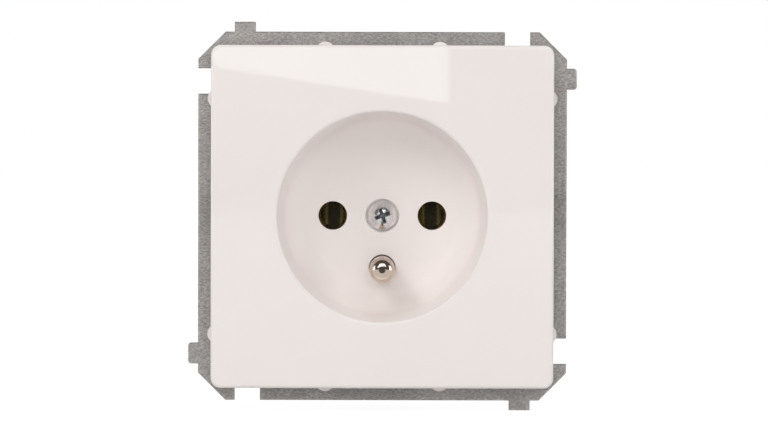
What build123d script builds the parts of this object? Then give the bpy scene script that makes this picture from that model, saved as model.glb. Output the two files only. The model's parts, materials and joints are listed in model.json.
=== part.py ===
from build123d import *
import math
import os

# Flush-mounted wall socket with an earth pin: a glossy cover plate with a round plug recess, held by
# one screw on an insert that hangs behind a galvanised steel support. Sizes are in millimetres.
# X is right and Z is up, as seen from the room. Y = 0 is the wall, where the support lies, and Y grows
# into the wall, so levels in front of the wall are negative.

# Steel support
support_width = 70.0
support_thickness = 1.0
support_chamfer = 5.2
support_edge_break = 0.25
tab_width = 4.0
tab_reach = 1.85
tab_offset = 26.1
tab_tip_radius = 0.6
notch_width = 4.8
notch_depth = 4.2
notch_offset = 25.6
notch_corner_radius = 0.5
box_screw_circle_diameter = 60.0
box_slot_width = 3.6
box_slot_length = 4.8
support_opening_margin = 0.4

# Cover plate
cover_width = 64.4
cover_height = 8.6
cover_flare_width = 0.4
cover_corner_radius = 1.9
cover_edge_chamfer = 0.4
cover_plate_thickness = 2.0
cover_skirt = 1.6
cover_gap = 0.2
rib_thickness = 1.2
rib_height = 3.6
rib_count = 8
screw_relief_width = 9.0
screw_relief_height = 3.8
nub_width = 3.0
nub_reach = 0.75
nub_length = 1.6
nub_depth = 4.0
nub_offset_across = 10.8
nub_offset_up = 22.2

# Plug recess in the cover
recess_diameter = 39.5
recess_depth = 15.0
recess_taper = 5.5
recess_floor_radius = 5.0
recess_rim_chamfer = 0.45
recess_overcut = 1.0
cup_corner_chamfer = 3.6
recess_wall = 1.8
recess_floor = 2.0
pin_spacing = 19.0
contact_hole_diameter = 5.5
earth_drop = 10.0
earth_hole_diameter = 5.1
screw_seat_diameter = 6.3
screw_seat_depth = 0.5

# Earth pin
earth_pin_diameter = 4.8
earth_pin_reach = 14.0
earth_pin_tip_radius = 2.0
earth_root_diameter = 4.4
earth_root_rise = 0.3
earth_shoulder_diameter = 7.0
earth_shoulder_thickness = 1.4
earth_rivet_diameter = 4.0
earth_rivet_head_diameter = 5.6
earth_rivet_head_height = 0.8

# Screws and nut: shank diameter, head diameter, head height
cover_screw_diameter = 3.0
cover_screw_length = 10.0
cover_screw_head_diameter = 5.7
cover_screw_head_height = 2.0
cover_screw_rim = 0.6
cover_screw_top_diameter = 3.6
cover_screw_drive_width = 0.9
cover_screw_drive_length = 3.0
cover_screw_drive_depth = 1.1
cover_screw_tip_chamfer = 0.35
support_screw_diameter = 2.8
support_screw_length = 9.0
support_screw_head_diameter = 5.2
support_screw_head_height = 1.8
support_screw_wall = 2.6
lid_screw_diameter = 2.2
lid_screw_length = 9.0
lid_screw_head_diameter = 3.8
lid_screw_head_height = 1.1
lid_screw_seat_depth = 1.2
lid_screw_inset = 2.67
lid_screw_low_angle = 38.4
terminal_screw_diameter = 3.5
terminal_screw_length = 4.6
terminal_screw_head_diameter = 6.0
terminal_screw_head_height = 2.2
nut_width = 5.5
nut_height = 2.4

# Insert base and its lid
base_side_wall = 2.33
base_corner_wall = 1.43
base_depth = 28.5
base_rear_wall = 2.5
base_rear_chamfer = 1.0
flange_lip = 2.0
flange_corner_lip = 0.5
flange_thickness = 2.4
cup_clearance = 0.45
lid_thickness = 2.2
lid_clearance = 0.2
chamber_width = 9.2
chamber_low = 4.6
chamber_wall = 2.5
earth_pocket_width = 8.8
earth_pocket_top = 5.6
earth_ledge_width = 6.0
wire_hole_diameter = 4.2
wire_hole_funnel = 0.5
access_hole_diameter = 6.6
core_cell = 6.0
core_rib = 1.2
core_depth = 7.0
core_side_wall = 3.0
core_corner_wall = 2.0

# Contacts, terminals and springs
contact_thickness = 0.7
contact_bore_diameter = 5.2
contact_pinch_diameter = 4.4
contact_mouth_diameter = 6.2
contact_mouth_length = 2.4
contact_pinch_length = 1.6
contact_neck_length = 2.6
contact_slit = 2.6
contact_root = 3.0
contact_setback = 0.4
spring_thickness = 0.6
spring_width = 1.4
strip_thickness = 0.8
terminal_width = 7.4
terminal_set_length = 7.5
terminal_head_gap = 1.8
terminal_lip = 5.8
collar_thickness = 1.1
collar_height = 1.6
saddle_width = 7.2
saddle_thickness = 1.2
saddle_groove = 0.4
strap_width = 8.0
strap_top = 6.2
tongue_width = 6.0

# Fits
screw_clearance = 0.3
thread_clearance = 0.05
rivet_clearance = 0.05
root_clearance = 0.12
slot_clearance = 0.1
nut_clearance = 0.1
screw_tip_clearance = 0.402
match_tolerance = 0.01

# Chords that stand for each rounded corner
rounding_steps = 3

# Levels along Y, from the room into the wall
support_front = -support_thickness
cover_front = support_front - cover_height
cover_rear = support_front - cover_gap
plate_rear = cover_front + cover_plate_thickness
floor_front = cover_front + recess_depth
floor_rear = floor_front + recess_floor
lid_rear = floor_rear + lid_thickness
chamber_floor = base_depth - base_rear_wall
strap_front = lid_rear + earth_shoulder_thickness
strap_rear = strap_front + strip_thickness
bracket_rear = strap_rear + strip_thickness

# Radii and widths that follow from the sizes above
recess_radius = recess_diameter / 2
taper_slope = math.tan(math.radians(recess_taper))
taper_cosine = math.cos(math.radians(recess_taper))
floor_line_radius = recess_radius - recess_depth * taper_slope
cup_radius_at_wall = recess_radius - (support_front - cover_front) * taper_slope + recess_wall
bore_radius = cup_radius_at_wall + cup_clearance
support_opening_radius = bore_radius + support_opening_margin
contact_x = pin_spacing / 2
support_screw_circle_radius = bore_radius + support_screw_wall + support_screw_diameter / 2
lid_screw_circle_radius = bore_radius - lid_screw_inset
base_width = 2 * (bore_radius + base_side_wall)
base_round_radius = support_screw_circle_radius + support_screw_diameter / 2 + base_corner_wall
chamber_top = base_width / 2 - chamber_wall
terminal_stack = terminal_screw_head_height + saddle_thickness
terminal_face = chamber_top - terminal_head_gap - terminal_stack
terminal_height = terminal_face - strip_thickness
terminal_depth = chamber_floor - terminal_set_length
earth_ledge_end = terminal_face + saddle_thickness - terminal_screw_length - screw_tip_clearance
wire_hole_height = (terminal_face + chamber_top) / 2
core_centre = base_width / 2 - core_side_wall - core_cell - core_rib / 2
tongue_outer = support_opening_radius + strip_thickness
cover_rear_width = cover_width + 2 * cover_flare_width
cover_taper = math.degrees(math.atan(cover_flare_width / (cover_rear - cover_front)))


def facing(level):
    """The plane parallel to the wall at this level, seen from the room and extruded towards it."""
    return Plane.XZ.offset(-level)


def rounding(centre, radius, start, end):
    """Points along an arc that stands for a rounded corner, between two angles in degrees."""
    turn = (end - start) / rounding_steps
    angles = [math.radians(start + turn * step) for step in range(rounding_steps + 1)]
    return [(centre[0] + radius * math.cos(a), centre[1] + radius * math.sin(a)) for a in angles]


def plain_screw(axis_plane, diameter, length, head_diameter, head_height):
    """A cylinder-head screw. The plane lies under the head and faces its top."""
    with BuildPart() as screw:
        with BuildSketch(axis_plane):
            Circle(head_diameter / 2)
        extrude(amount=head_height)
        with BuildSketch(axis_plane):
            Circle(diameter / 2)
        extrude(amount=-length)
    return screw


os.makedirs("parts", exist_ok=True)

# Support: one stamped sheet with a tab and a notch on each side, by which neighbouring supports interlock
with BuildPart() as support_frame:
    with BuildSketch(facing(0)) as support_outline:
        Rectangle(support_width, support_width)
        chamfer(support_outline.vertices(), support_chamfer)
        with PolarLocations(support_width / 2, 4):
            with Locations((0, tab_offset)):
                Rectangle(2 * tab_reach, tab_width)
            with Locations((0, -notch_offset)):
                Rectangle(2 * notch_depth, notch_width, mode=Mode.SUBTRACT)
        tab_tips = support_outline.vertices().filter_by(
            lambda v: max(abs(v.X), abs(v.Z)) > (support_width + tab_reach) / 2
        )
        fillet(tab_tips, tab_tip_radius)
        notch_floors = support_outline.vertices().filter_by(
            lambda v: abs(max(abs(v.X), abs(v.Z)) - support_width / 2 + notch_depth) < match_tolerance
        )
        fillet(notch_floors, notch_corner_radius)
    extrude(amount=support_thickness)
    chamfer(support_frame.faces().sort_by(Axis.Y)[0].outer_wire().edges(), support_edge_break)
    with BuildSketch(facing(0)):
        Circle(support_opening_radius)
        with PolarLocations(box_screw_circle_diameter / 2, 4):
            SlotOverall(box_slot_length, box_slot_width)
        with PolarLocations(support_screw_circle_radius, 4, start_angle=45):
            Circle(support_screw_diameter / 2 + screw_clearance)
    extrude(amount=support_thickness, mode=Mode.SUBTRACT)
support_frame.part.label = "support_frame"
export_step(support_frame.part, "parts/support_frame.step")

# Cover plate: a square plate with a flared skirt, and the plug recess moulded into it
with BuildPart() as cover_plate:
    with BuildSketch(facing(cover_rear)):
        RectangleRounded(cover_rear_width, cover_rear_width, cover_corner_radius + cover_flare_width)
    extrude(amount=cover_rear - cover_front, taper=cover_taper)
    chamfer(cover_plate.faces().sort_by(Axis.Y)[0].outer_wire().edges(), cover_edge_chamfer)

    # Hollow behind the plate, with relief for the heads of the box screws in the middle of each side
    hollow_width = cover_rear_width - 2 * cover_skirt
    with BuildSketch(facing(cover_rear)):
        RectangleRounded(hollow_width, hollow_width, cover_corner_radius)
    extrude(amount=cover_rear - plate_rear, taper=cover_taper, mode=Mode.SUBTRACT)
    with BuildSketch(facing(cover_rear)):
        with PolarLocations(cover_rear_width / 2, 4):
            Rectangle(3 * cover_skirt, screw_relief_width)
    extrude(amount=screw_relief_height, mode=Mode.SUBTRACT)

    # Stiffening ribs from the recess to the skirt
    rib_angle = 180 / rib_count
    rib_inner = recess_radius
    rib_outer = (cover_width / 2 - cover_skirt * 0.6) / math.cos(math.radians(rib_angle))
    with BuildSketch(facing(plate_rear)):
        with PolarLocations((rib_inner + rib_outer) / 2, rib_count, start_angle=rib_angle):
            Rectangle(rib_outer - rib_inner, rib_thickness)
    extrude(amount=-rib_height)

    # Snap nubs on the side walls
    nub_radius = ((nub_width / 2) ** 2 + nub_reach**2) / (2 * nub_reach)
    nub_wall = cover_width / 2 + cover_flare_width * nub_depth / (cover_rear - cover_front)
    nub_centre = nub_wall + nub_reach - nub_radius
    with BuildSketch(facing(cover_front + nub_depth + nub_length)):
        for side in (-1, 1):
            with Locations(
                (side * nub_offset_across, nub_centre),
                (side * nub_offset_across, -nub_centre),
                (nub_centre, side * nub_offset_up),
                (-nub_centre, side * nub_offset_up),
            ):
                Circle(nub_radius)
        nub_keep = nub_wall - cover_skirt / 2
        Rectangle(2 * nub_keep, 2 * nub_keep, mode=Mode.SUBTRACT)
    extrude(amount=nub_length)

    # Outer shape of the cup, then the recess cut into it
    with BuildSketch(Plane.XY) as cup_section:
        with BuildLine():
            Polyline(
                (0, floor_rear),
                (floor_line_radius + recess_wall, floor_rear),
                (recess_radius + recess_wall, cover_front + cover_plate_thickness / 2),
                (0, cover_front + cover_plate_thickness / 2),
                close=True,
            )
        make_face()
        chamfer(cup_section.vertices().group_by(Axis.Y)[-1].sort_by(Axis.X)[-1], cup_corner_chamfer)
    revolve(axis=Axis.Y)
    corner_centre_radius = floor_line_radius + recess_floor_radius * (taper_slope - 1 / taper_cosine)
    with BuildSketch(Plane.XY):
        with BuildLine():
            Polyline(
                (0, floor_front),
                *rounding(
                    (corner_centre_radius, floor_front - recess_floor_radius),
                    recess_floor_radius,
                    90,
                    recess_taper,
                ),
                (recess_radius - recess_rim_chamfer * taper_slope, cover_front + recess_rim_chamfer),
                (recess_radius + recess_rim_chamfer, cover_front),
                (recess_radius + recess_rim_chamfer, cover_front - recess_overcut),
                (0, cover_front - recess_overcut),
                close=True,
            )
        make_face()
    revolve(axis=Axis.Y, mode=Mode.SUBTRACT)

    # Holes in the recess floor
    with BuildSketch(facing(floor_rear)):
        with Locations((-contact_x, 0), (contact_x, 0)):
            Circle(contact_hole_diameter / 2)
        with Locations((0, -earth_drop)):
            Circle(earth_hole_diameter / 2)
        Circle(cover_screw_diameter / 2 + screw_clearance)
    extrude(amount=recess_floor, mode=Mode.SUBTRACT)
    with BuildSketch(facing(floor_front)):
        Circle(screw_seat_diameter / 2)
    extrude(amount=-screw_seat_depth, mode=Mode.SUBTRACT)
cover_plate.part.label = "cover_plate"
export_step(cover_plate.part, "parts/cover_plate.step")

# Cover screw: a raised head with a cross recess, in the seat of the recess floor
head_level = floor_front + screw_seat_depth
head_top = head_level - cover_screw_head_height
screw_end = head_level + cover_screw_length
with BuildPart() as cover_screw:
    with BuildSketch(Plane.XY):
        with BuildLine():
            Polyline(
                (0, head_top),
                (cover_screw_top_diameter / 2, head_top),
                (cover_screw_head_diameter / 2, head_level - cover_screw_rim),
                (cover_screw_head_diameter / 2, head_level),
                (cover_screw_diameter / 2, head_level),
                (cover_screw_diameter / 2, screw_end - cover_screw_tip_chamfer),
                (cover_screw_diameter / 2 - cover_screw_tip_chamfer, screw_end),
                (0, screw_end),
                close=True,
            )
        make_face()
    revolve(axis=Axis.Y)
    with BuildSketch(facing(head_top)):
        Rectangle(cover_screw_drive_length, cover_screw_drive_width)
        Rectangle(cover_screw_drive_width, cover_screw_drive_length)
    extrude(amount=-cover_screw_drive_depth, mode=Mode.SUBTRACT)
cover_screw.part.label = "cover_screw"
export_step(cover_screw.part, "parts/cover_screw.step")

# Square nut that the cover screw pulls on
with BuildPart() as cover_nut:
    with BuildSketch(facing(lid_rear + nut_height)):
        Rectangle(nut_width, nut_width)
        Circle(cover_screw_diameter / 2 + thread_clearance, mode=Mode.SUBTRACT)
    extrude(amount=nut_height)
cover_nut.part.label = "cover_nut"
export_step(cover_nut.part, "parts/cover_nut.step")

# Insert base: a deep moulded body under a flange that seats on the back of the support
lid_screw_side = lid_screw_circle_radius * math.cos(math.radians(lid_screw_low_angle))
lid_screw_low = lid_screw_circle_radius * math.sin(math.radians(lid_screw_low_angle))
lid_screw_places = [
    (0, lid_screw_circle_radius),
    (-lid_screw_side, -lid_screw_low),
    (lid_screw_side, -lid_screw_low),
]
with BuildPart() as insert_base:
    with BuildSketch(facing(0)):
        Circle(base_round_radius + flange_corner_lip)
        Rectangle(base_width + 2 * flange_lip, base_width + 2 * flange_lip, mode=Mode.INTERSECT)
    extrude(amount=-flange_thickness)
    with BuildSketch(facing(flange_thickness)):
        Circle(base_round_radius)
        Rectangle(base_width, base_width, mode=Mode.INTERSECT)
    extrude(amount=-(base_depth - flange_thickness))
    chamfer(insert_base.faces().sort_by(Axis.Y)[-1].edges(), base_rear_chamfer)

    # Bore for the cup and the lid
    with BuildSketch(facing(0)):
        Circle(bore_radius)
    extrude(amount=-lid_rear, mode=Mode.SUBTRACT)

    # One deep chamber for each line contact and its terminal
    with BuildSketch(facing(lid_rear)):
        for side in (-1, 1):
            with Locations((side * contact_x, (chamber_top - chamber_low) / 2)):
                Rectangle(chamber_width, chamber_top + chamber_low)
    extrude(amount=-(chamber_floor - lid_rear), mode=Mode.SUBTRACT)

    # Earth pocket: a shallow well for the strap, a narrow one for the rivet, a deep one for the terminal
    with BuildSketch(facing(lid_rear)):
        with Locations((0, -(earth_pocket_top + chamber_top) / 2)):
            Rectangle(earth_pocket_width, chamber_top - earth_pocket_top)
    extrude(amount=-(bracket_rear - lid_rear), mode=Mode.SUBTRACT)
    with BuildSketch(facing(bracket_rear)):
        with Locations((0, -(earth_pocket_top + earth_ledge_end) / 2)):
            Rectangle(earth_ledge_width, earth_ledge_end - earth_pocket_top)
    extrude(amount=-2 * earth_rivet_head_height, mode=Mode.SUBTRACT)
    with BuildSketch(facing(bracket_rear)):
        with Locations((0, -(earth_ledge_end + chamber_top) / 2)):
            Rectangle(earth_pocket_width, chamber_top - earth_ledge_end)
    extrude(amount=-(chamber_floor - bracket_rear), mode=Mode.SUBTRACT)

    # Slot beside the bore for the strap's tongue
    slot_depth = tongue_outer + slot_clearance
    with BuildSketch(facing(0)):
        with Locations((0, -(slot_depth + chamber_top / 2) / 2)):
            Rectangle(tongue_width + 2 * slot_clearance, slot_depth - chamber_top / 2)
    extrude(amount=-(strap_rear + slot_clearance), mode=Mode.SUBTRACT)

    # Nut pocket, and pilot holes for all screws that enter from the front
    with BuildSketch(facing(lid_rear)):
        Rectangle(nut_width + 2 * nut_clearance, nut_width + 2 * nut_clearance)
    extrude(amount=-nut_height, mode=Mode.SUBTRACT)
    with BuildSketch(facing(lid_rear)):
        Circle(cover_screw_diameter / 2 + screw_clearance)
    extrude(amount=-cover_screw_length, mode=Mode.SUBTRACT)
    with BuildSketch(facing(lid_rear)):
        with Locations(*lid_screw_places):
            Circle(lid_screw_diameter / 2 + thread_clearance)
    extrude(amount=-lid_screw_length, mode=Mode.SUBTRACT)
    with BuildSketch(facing(0)):
        with PolarLocations(support_screw_circle_radius, 4, start_angle=45):
            Circle(support_screw_diameter / 2 + thread_clearance)
    extrude(amount=-support_screw_length, mode=Mode.SUBTRACT)

    # Wire entries in the rear wall, and screwdriver holes in the upper and lower walls
    wire_places = [(-contact_x, wire_hole_height), (contact_x, wire_hole_height), (0, -wire_hole_height)]
    with BuildSketch(facing(base_depth)):
        with Locations(*wire_places):
            Circle(wire_hole_diameter / 2)
    extrude(amount=base_rear_wall, mode=Mode.SUBTRACT)
    mouths = insert_base.edges().filter_by(GeomType.CIRCLE).group_by(Axis.Y)[-1]
    chamfer(mouths, wire_hole_funnel)
    with BuildSketch(Plane.XY.offset(base_width / 2)):
        with Locations((-contact_x, terminal_depth), (contact_x, terminal_depth)):
            Circle(access_hole_diameter / 2)
    extrude(amount=-chamber_wall, mode=Mode.SUBTRACT)
    with BuildSketch(Plane.XY.offset(-base_width / 2)):
        with Locations((0, terminal_depth)):
            Circle(access_hole_diameter / 2)
    extrude(amount=chamber_wall, mode=Mode.SUBTRACT)

    # Cored-out cells between ribs, in the rear of the lower corners and of the upper middle
    cell_pitch = core_cell + core_rib
    with BuildSketch(facing(base_depth)):
        with Locations((-core_centre, -core_centre), (core_centre, -core_centre)):
            with GridLocations(cell_pitch, cell_pitch, 2, 2):
                Rectangle(core_cell, core_cell)
        with Locations((0, core_centre)):
            with GridLocations(cell_pitch, cell_pitch, 1, 2):
                Rectangle(core_cell, core_cell)
        Circle(base_round_radius - core_corner_wall, mode=Mode.INTERSECT)
    extrude(amount=core_depth, mode=Mode.SUBTRACT)
insert_base.part.label = "insert_base"
export_step(insert_base.part, "parts/insert_base.step")

# Lid that closes the contact chambers, under the floor of the cup
with BuildPart() as contact_lid:
    with BuildSketch(facing(lid_rear)):
        Circle(bore_radius - lid_clearance)
        with Locations((-contact_x, 0), (contact_x, 0)):
            Circle(contact_mouth_diameter / 2, mode=Mode.SUBTRACT)
        with Locations((0, -earth_drop)):
            Circle(earth_root_diameter / 2 + root_clearance, mode=Mode.SUBTRACT)
        Circle(cover_screw_diameter / 2 + screw_clearance, mode=Mode.SUBTRACT)
        with Locations(*lid_screw_places):
            Circle(lid_screw_diameter / 2 + screw_clearance, mode=Mode.SUBTRACT)
    extrude(amount=lid_thickness)
    with BuildSketch(facing(floor_rear)):
        with Locations(*lid_screw_places):
            Circle(lid_screw_head_diameter / 2 + screw_clearance)
    extrude(amount=-lid_screw_seat_depth, mode=Mode.SUBTRACT)
contact_lid.part.label = "contact_lid"
export_step(contact_lid.part, "parts/contact_lid.step")

# Screws that hold the lid on the base
for number, (x, z) in enumerate(lid_screw_places, start=1):
    lid_screw = plain_screw(
        Plane((x, floor_rear + lid_screw_seat_depth, z), (1, 0, 0), (0, -1, 0)),
        lid_screw_diameter,
        lid_screw_length,
        lid_screw_head_diameter,
        lid_screw_head_height,
    )
    lid_screw.part.label = f"lid_screw_{number}"
    export_step(lid_screw.part, f"parts/lid_screw_{number}.step")

# Screws that hold the base on the support
screw_offset = support_screw_circle_radius * math.sin(math.radians(45))
support_screw_places = [
    (-screw_offset, screw_offset),
    (screw_offset, screw_offset),
    (screw_offset, -screw_offset),
    (-screw_offset, -screw_offset),
]
for number, (x, z) in enumerate(support_screw_places, start=1):
    support_screw = plain_screw(
        Plane((x, support_front, z), (1, 0, 0), (0, -1, 0)),
        support_screw_diameter,
        support_screw_length,
        support_screw_head_diameter,
        support_screw_head_height,
    )
    support_screw.part.label = f"support_screw_{number}"
    export_step(support_screw.part, f"parts/support_screw_{number}.step")

# Line contacts: a split brass sleeve on a strip that rises to the terminal, with a spring clip round it
sleeve_front = lid_rear + contact_setback
pinch_front = sleeve_front + contact_mouth_length
pinch_rear = pinch_front + contact_pinch_length
body_front = pinch_rear + contact_neck_length
sleeve_floor = chamber_floor - strip_thickness
mouth_radius = contact_mouth_diameter / 2
pinch_radius = contact_pinch_diameter / 2
body_radius = contact_bore_diameter / 2
for name, side in (("left", -1), ("right", 1)):
    x = side * contact_x
    with BuildPart() as contact:
        with BuildSketch(Plane.XY):
            with BuildLine():
                Polyline(
                    (x + mouth_radius, sleeve_front),
                    (x + pinch_radius, pinch_front),
                    (x + pinch_radius, pinch_rear),
                    (x + body_radius, body_front),
                    (x + body_radius, sleeve_floor),
                    (x, sleeve_floor),
                    (x, chamber_floor),
                    (x + body_radius + contact_thickness, chamber_floor),
                    (x + body_radius + contact_thickness, body_front),
                    (x + pinch_radius + contact_thickness, pinch_rear),
                    (x + pinch_radius + contact_thickness, pinch_front),
                    (x + mouth_radius + contact_thickness, sleeve_front),
                    close=True,
                )
            make_face()
        revolve(axis=Axis((x, 0, 0), (0, 1, 0)))
        with BuildSketch(facing(sleeve_front)):
            with Locations((x, 0)):
                Rectangle(contact_slit, 3 * contact_mouth_diameter)
        extrude(amount=-(chamber_floor - contact_root - sleeve_front), mode=Mode.SUBTRACT)
        with BuildSketch(facing(chamber_floor)):
            with Locations((x, terminal_face / 2)):
                Rectangle(terminal_width, terminal_face)
        extrude(amount=strip_thickness)
        terminal_start = terminal_depth - terminal_lip
        with BuildSketch(Plane.XY.offset(terminal_height)):
            with Locations((x, (terminal_start + chamber_floor) / 2)):
                Rectangle(terminal_width, chamber_floor - terminal_start)
        extrude(amount=strip_thickness)
        with BuildSketch(Plane.XY.offset(terminal_height)):
            with Locations((x, terminal_depth)):
                Circle(terminal_screw_diameter / 2 + collar_thickness)
        extrude(amount=-collar_height)
        with BuildSketch(Plane.XY.offset(terminal_face)):
            with Locations((x, terminal_depth)):
                Circle(terminal_screw_diameter / 2 + thread_clearance)
        extrude(amount=-(strip_thickness + collar_height), mode=Mode.SUBTRACT)
    contact.part.label = f"contact_{name}"
    export_step(contact.part, f"parts/contact_{name}.step")

    with BuildPart() as contact_spring:
        with BuildSketch(facing((pinch_front + pinch_rear + spring_width) / 2)):
            spring_bore = pinch_radius + contact_thickness + thread_clearance
            with Locations((x, 0)):
                Circle(spring_bore + spring_thickness)
                Circle(spring_bore, mode=Mode.SUBTRACT)
            with Locations((x, spring_bore)):
                Rectangle(contact_slit, 2 * spring_bore, mode=Mode.SUBTRACT)
        extrude(amount=spring_width)
    contact_spring.part.label = f"contact_spring_{name}"
    export_step(contact_spring.part, f"parts/contact_spring_{name}.step")

# Earth pin: turned from one bar, with a thinner root through floor and lid, and a riveted tail
tip_level = floor_front - earth_pin_reach
pin_radius = earth_pin_diameter / 2
root_level = floor_front - earth_root_rise
with BuildPart() as earth_pin:
    with BuildSketch(Plane.XY.offset(-earth_drop)):
        with BuildLine():
            Polyline(
                (0, tip_level),
                *rounding(
                    (pin_radius - earth_pin_tip_radius, tip_level + earth_pin_tip_radius),
                    earth_pin_tip_radius,
                    270,
                    360,
                ),
                (pin_radius, root_level),
                (earth_root_diameter / 2, root_level),
                (earth_root_diameter / 2, lid_rear),
                (earth_shoulder_diameter / 2, lid_rear),
                (earth_shoulder_diameter / 2, strap_front),
                (earth_rivet_diameter / 2, strap_front),
                (earth_rivet_diameter / 2, bracket_rear),
                (earth_rivet_head_diameter / 2, bracket_rear),
                (earth_rivet_head_diameter / 2, bracket_rear + earth_rivet_head_height),
                (0, bracket_rear + earth_rivet_head_height),
                close=True,
            )
        make_face()
    revolve(axis=Axis((0, 0, -earth_drop), (0, 1, 0)))
earth_pin.part.label = "earth_pin"
export_step(earth_pin.part, "parts/earth_pin.step")

# Earth strap: runs from the pin to the edge of the bore, where its tongue bears on the steel support
with BuildPart() as earth_strap:
    with BuildSketch(facing(strap_rear)):
        with Locations((0, -(strap_top + chamber_top) / 2)):
            Rectangle(strap_width, chamber_top - strap_top)
        with Locations((0, -(strap_top + tongue_outer) / 2)):
            Rectangle(tongue_width, tongue_outer - strap_top)
        with Locations((0, -earth_drop)):
            Circle(earth_rivet_diameter / 2 + rivet_clearance, mode=Mode.SUBTRACT)
    extrude(amount=strip_thickness)
    with BuildSketch(facing(strap_front)):
        with Locations((0, -(support_opening_radius + tongue_outer) / 2)):
            Rectangle(tongue_width, strip_thickness)
    extrude(amount=strap_front)
earth_strap.part.label = "earth_strap"
export_step(earth_strap.part, "parts/earth_strap.step")

# Earth terminal: a bent bracket riveted behind the strap, with the plate that takes the clamp screw
with BuildPart() as earth_terminal:
    with BuildSketch(facing(bracket_rear)):
        with Locations((0, -(strap_top + terminal_face) / 2)):
            Rectangle(terminal_width, terminal_face - strap_top)
        with Locations((0, -earth_drop)):
            Circle(earth_rivet_diameter / 2 + rivet_clearance, mode=Mode.SUBTRACT)
    extrude(amount=strip_thickness)
    bracket_end = terminal_depth + terminal_lip
    with BuildSketch(Plane.XY.offset(-terminal_height)):
        with Locations((0, (strap_rear + bracket_end) / 2)):
            Rectangle(terminal_width, bracket_end - strap_rear)
    extrude(amount=-strip_thickness)
    with BuildSketch(Plane.XY.offset(-terminal_height)):
        with Locations((0, terminal_depth)):
            Circle(terminal_screw_diameter / 2 + collar_thickness)
    extrude(amount=collar_height)
    with BuildSketch(Plane.XY.offset(-terminal_face)):
        with Locations((0, terminal_depth)):
            Circle(terminal_screw_diameter / 2 + thread_clearance)
    extrude(amount=strip_thickness + collar_height, mode=Mode.SUBTRACT)
earth_terminal.part.label = "earth_terminal"
export_step(earth_terminal.part, "parts/earth_terminal.step")

# Clamp saddles and terminal screws: the screw pulls the grooved saddle down on the wire
for name, x, way in (("left", -contact_x, 1), ("right", contact_x, 1), ("earth", 0, -1)):
    clamp_plane = Plane((x, terminal_depth, way * terminal_face), (1, 0, 0), (0, 0, way))
    with BuildPart() as clamp_saddle:
        with BuildSketch(clamp_plane):
            Rectangle(saddle_width, saddle_width)
            Circle(terminal_screw_diameter / 2 + screw_clearance, mode=Mode.SUBTRACT)
        extrude(amount=saddle_thickness)
        with BuildSketch(clamp_plane):
            for place in (-1, 1):
                with Locations((place * saddle_width * 0.36, 0)):
                    Rectangle(2 * saddle_groove, saddle_width)
        extrude(amount=saddle_groove, mode=Mode.SUBTRACT)
    clamp_saddle.part.label = f"clamp_saddle_{name}"
    export_step(clamp_saddle.part, f"parts/clamp_saddle_{name}.step")

    terminal_screw = plain_screw(
        clamp_plane.offset(saddle_thickness),
        terminal_screw_diameter,
        terminal_screw_length,
        terminal_screw_head_diameter,
        terminal_screw_head_height,
    )
    terminal_screw.part.label = f"terminal_screw_{name}"
    export_step(terminal_screw.part, f"parts/terminal_screw_{name}.step")
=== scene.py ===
import json
import math

import bmesh
import bpy
from mathutils import Euler, Matrix, Vector

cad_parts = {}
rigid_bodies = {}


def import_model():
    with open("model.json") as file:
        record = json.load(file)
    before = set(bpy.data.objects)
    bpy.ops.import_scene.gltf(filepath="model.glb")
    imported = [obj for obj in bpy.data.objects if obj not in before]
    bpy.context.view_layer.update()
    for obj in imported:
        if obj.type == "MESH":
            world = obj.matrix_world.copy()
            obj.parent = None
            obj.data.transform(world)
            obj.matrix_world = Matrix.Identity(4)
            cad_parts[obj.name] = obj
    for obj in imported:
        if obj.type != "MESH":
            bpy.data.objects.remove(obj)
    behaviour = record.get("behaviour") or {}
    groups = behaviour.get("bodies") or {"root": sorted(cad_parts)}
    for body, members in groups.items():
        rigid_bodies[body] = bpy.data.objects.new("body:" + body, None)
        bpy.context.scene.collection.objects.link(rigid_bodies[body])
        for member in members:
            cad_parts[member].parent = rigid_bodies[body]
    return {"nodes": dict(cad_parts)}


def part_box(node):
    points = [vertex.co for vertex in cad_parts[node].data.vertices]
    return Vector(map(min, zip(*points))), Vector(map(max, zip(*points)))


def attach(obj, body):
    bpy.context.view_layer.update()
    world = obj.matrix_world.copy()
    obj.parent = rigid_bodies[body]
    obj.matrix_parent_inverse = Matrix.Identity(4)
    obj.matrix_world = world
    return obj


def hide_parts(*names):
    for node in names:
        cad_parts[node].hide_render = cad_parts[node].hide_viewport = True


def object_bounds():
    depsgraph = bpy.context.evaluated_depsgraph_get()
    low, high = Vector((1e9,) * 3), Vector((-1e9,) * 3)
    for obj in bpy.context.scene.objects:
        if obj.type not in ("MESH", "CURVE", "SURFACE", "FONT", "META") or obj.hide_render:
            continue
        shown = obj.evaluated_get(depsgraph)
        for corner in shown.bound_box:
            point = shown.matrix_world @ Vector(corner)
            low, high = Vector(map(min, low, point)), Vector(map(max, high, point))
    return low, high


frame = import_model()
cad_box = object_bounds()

# Steel support: one galvanised sheet, 1 mm thick, stamped to its outline with a tab and a notch on
# each side, by which neighbours interlock. The punch leaves its edges a little rounded and bright.
support_edge_rounding = 0.22


def alone(piece):
    """Makes one piece the only selected and active one."""
    bpy.ops.object.select_all(action="DESELECT")
    bpy.context.view_layer.objects.active = piece
    piece.select_set(True)


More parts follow.
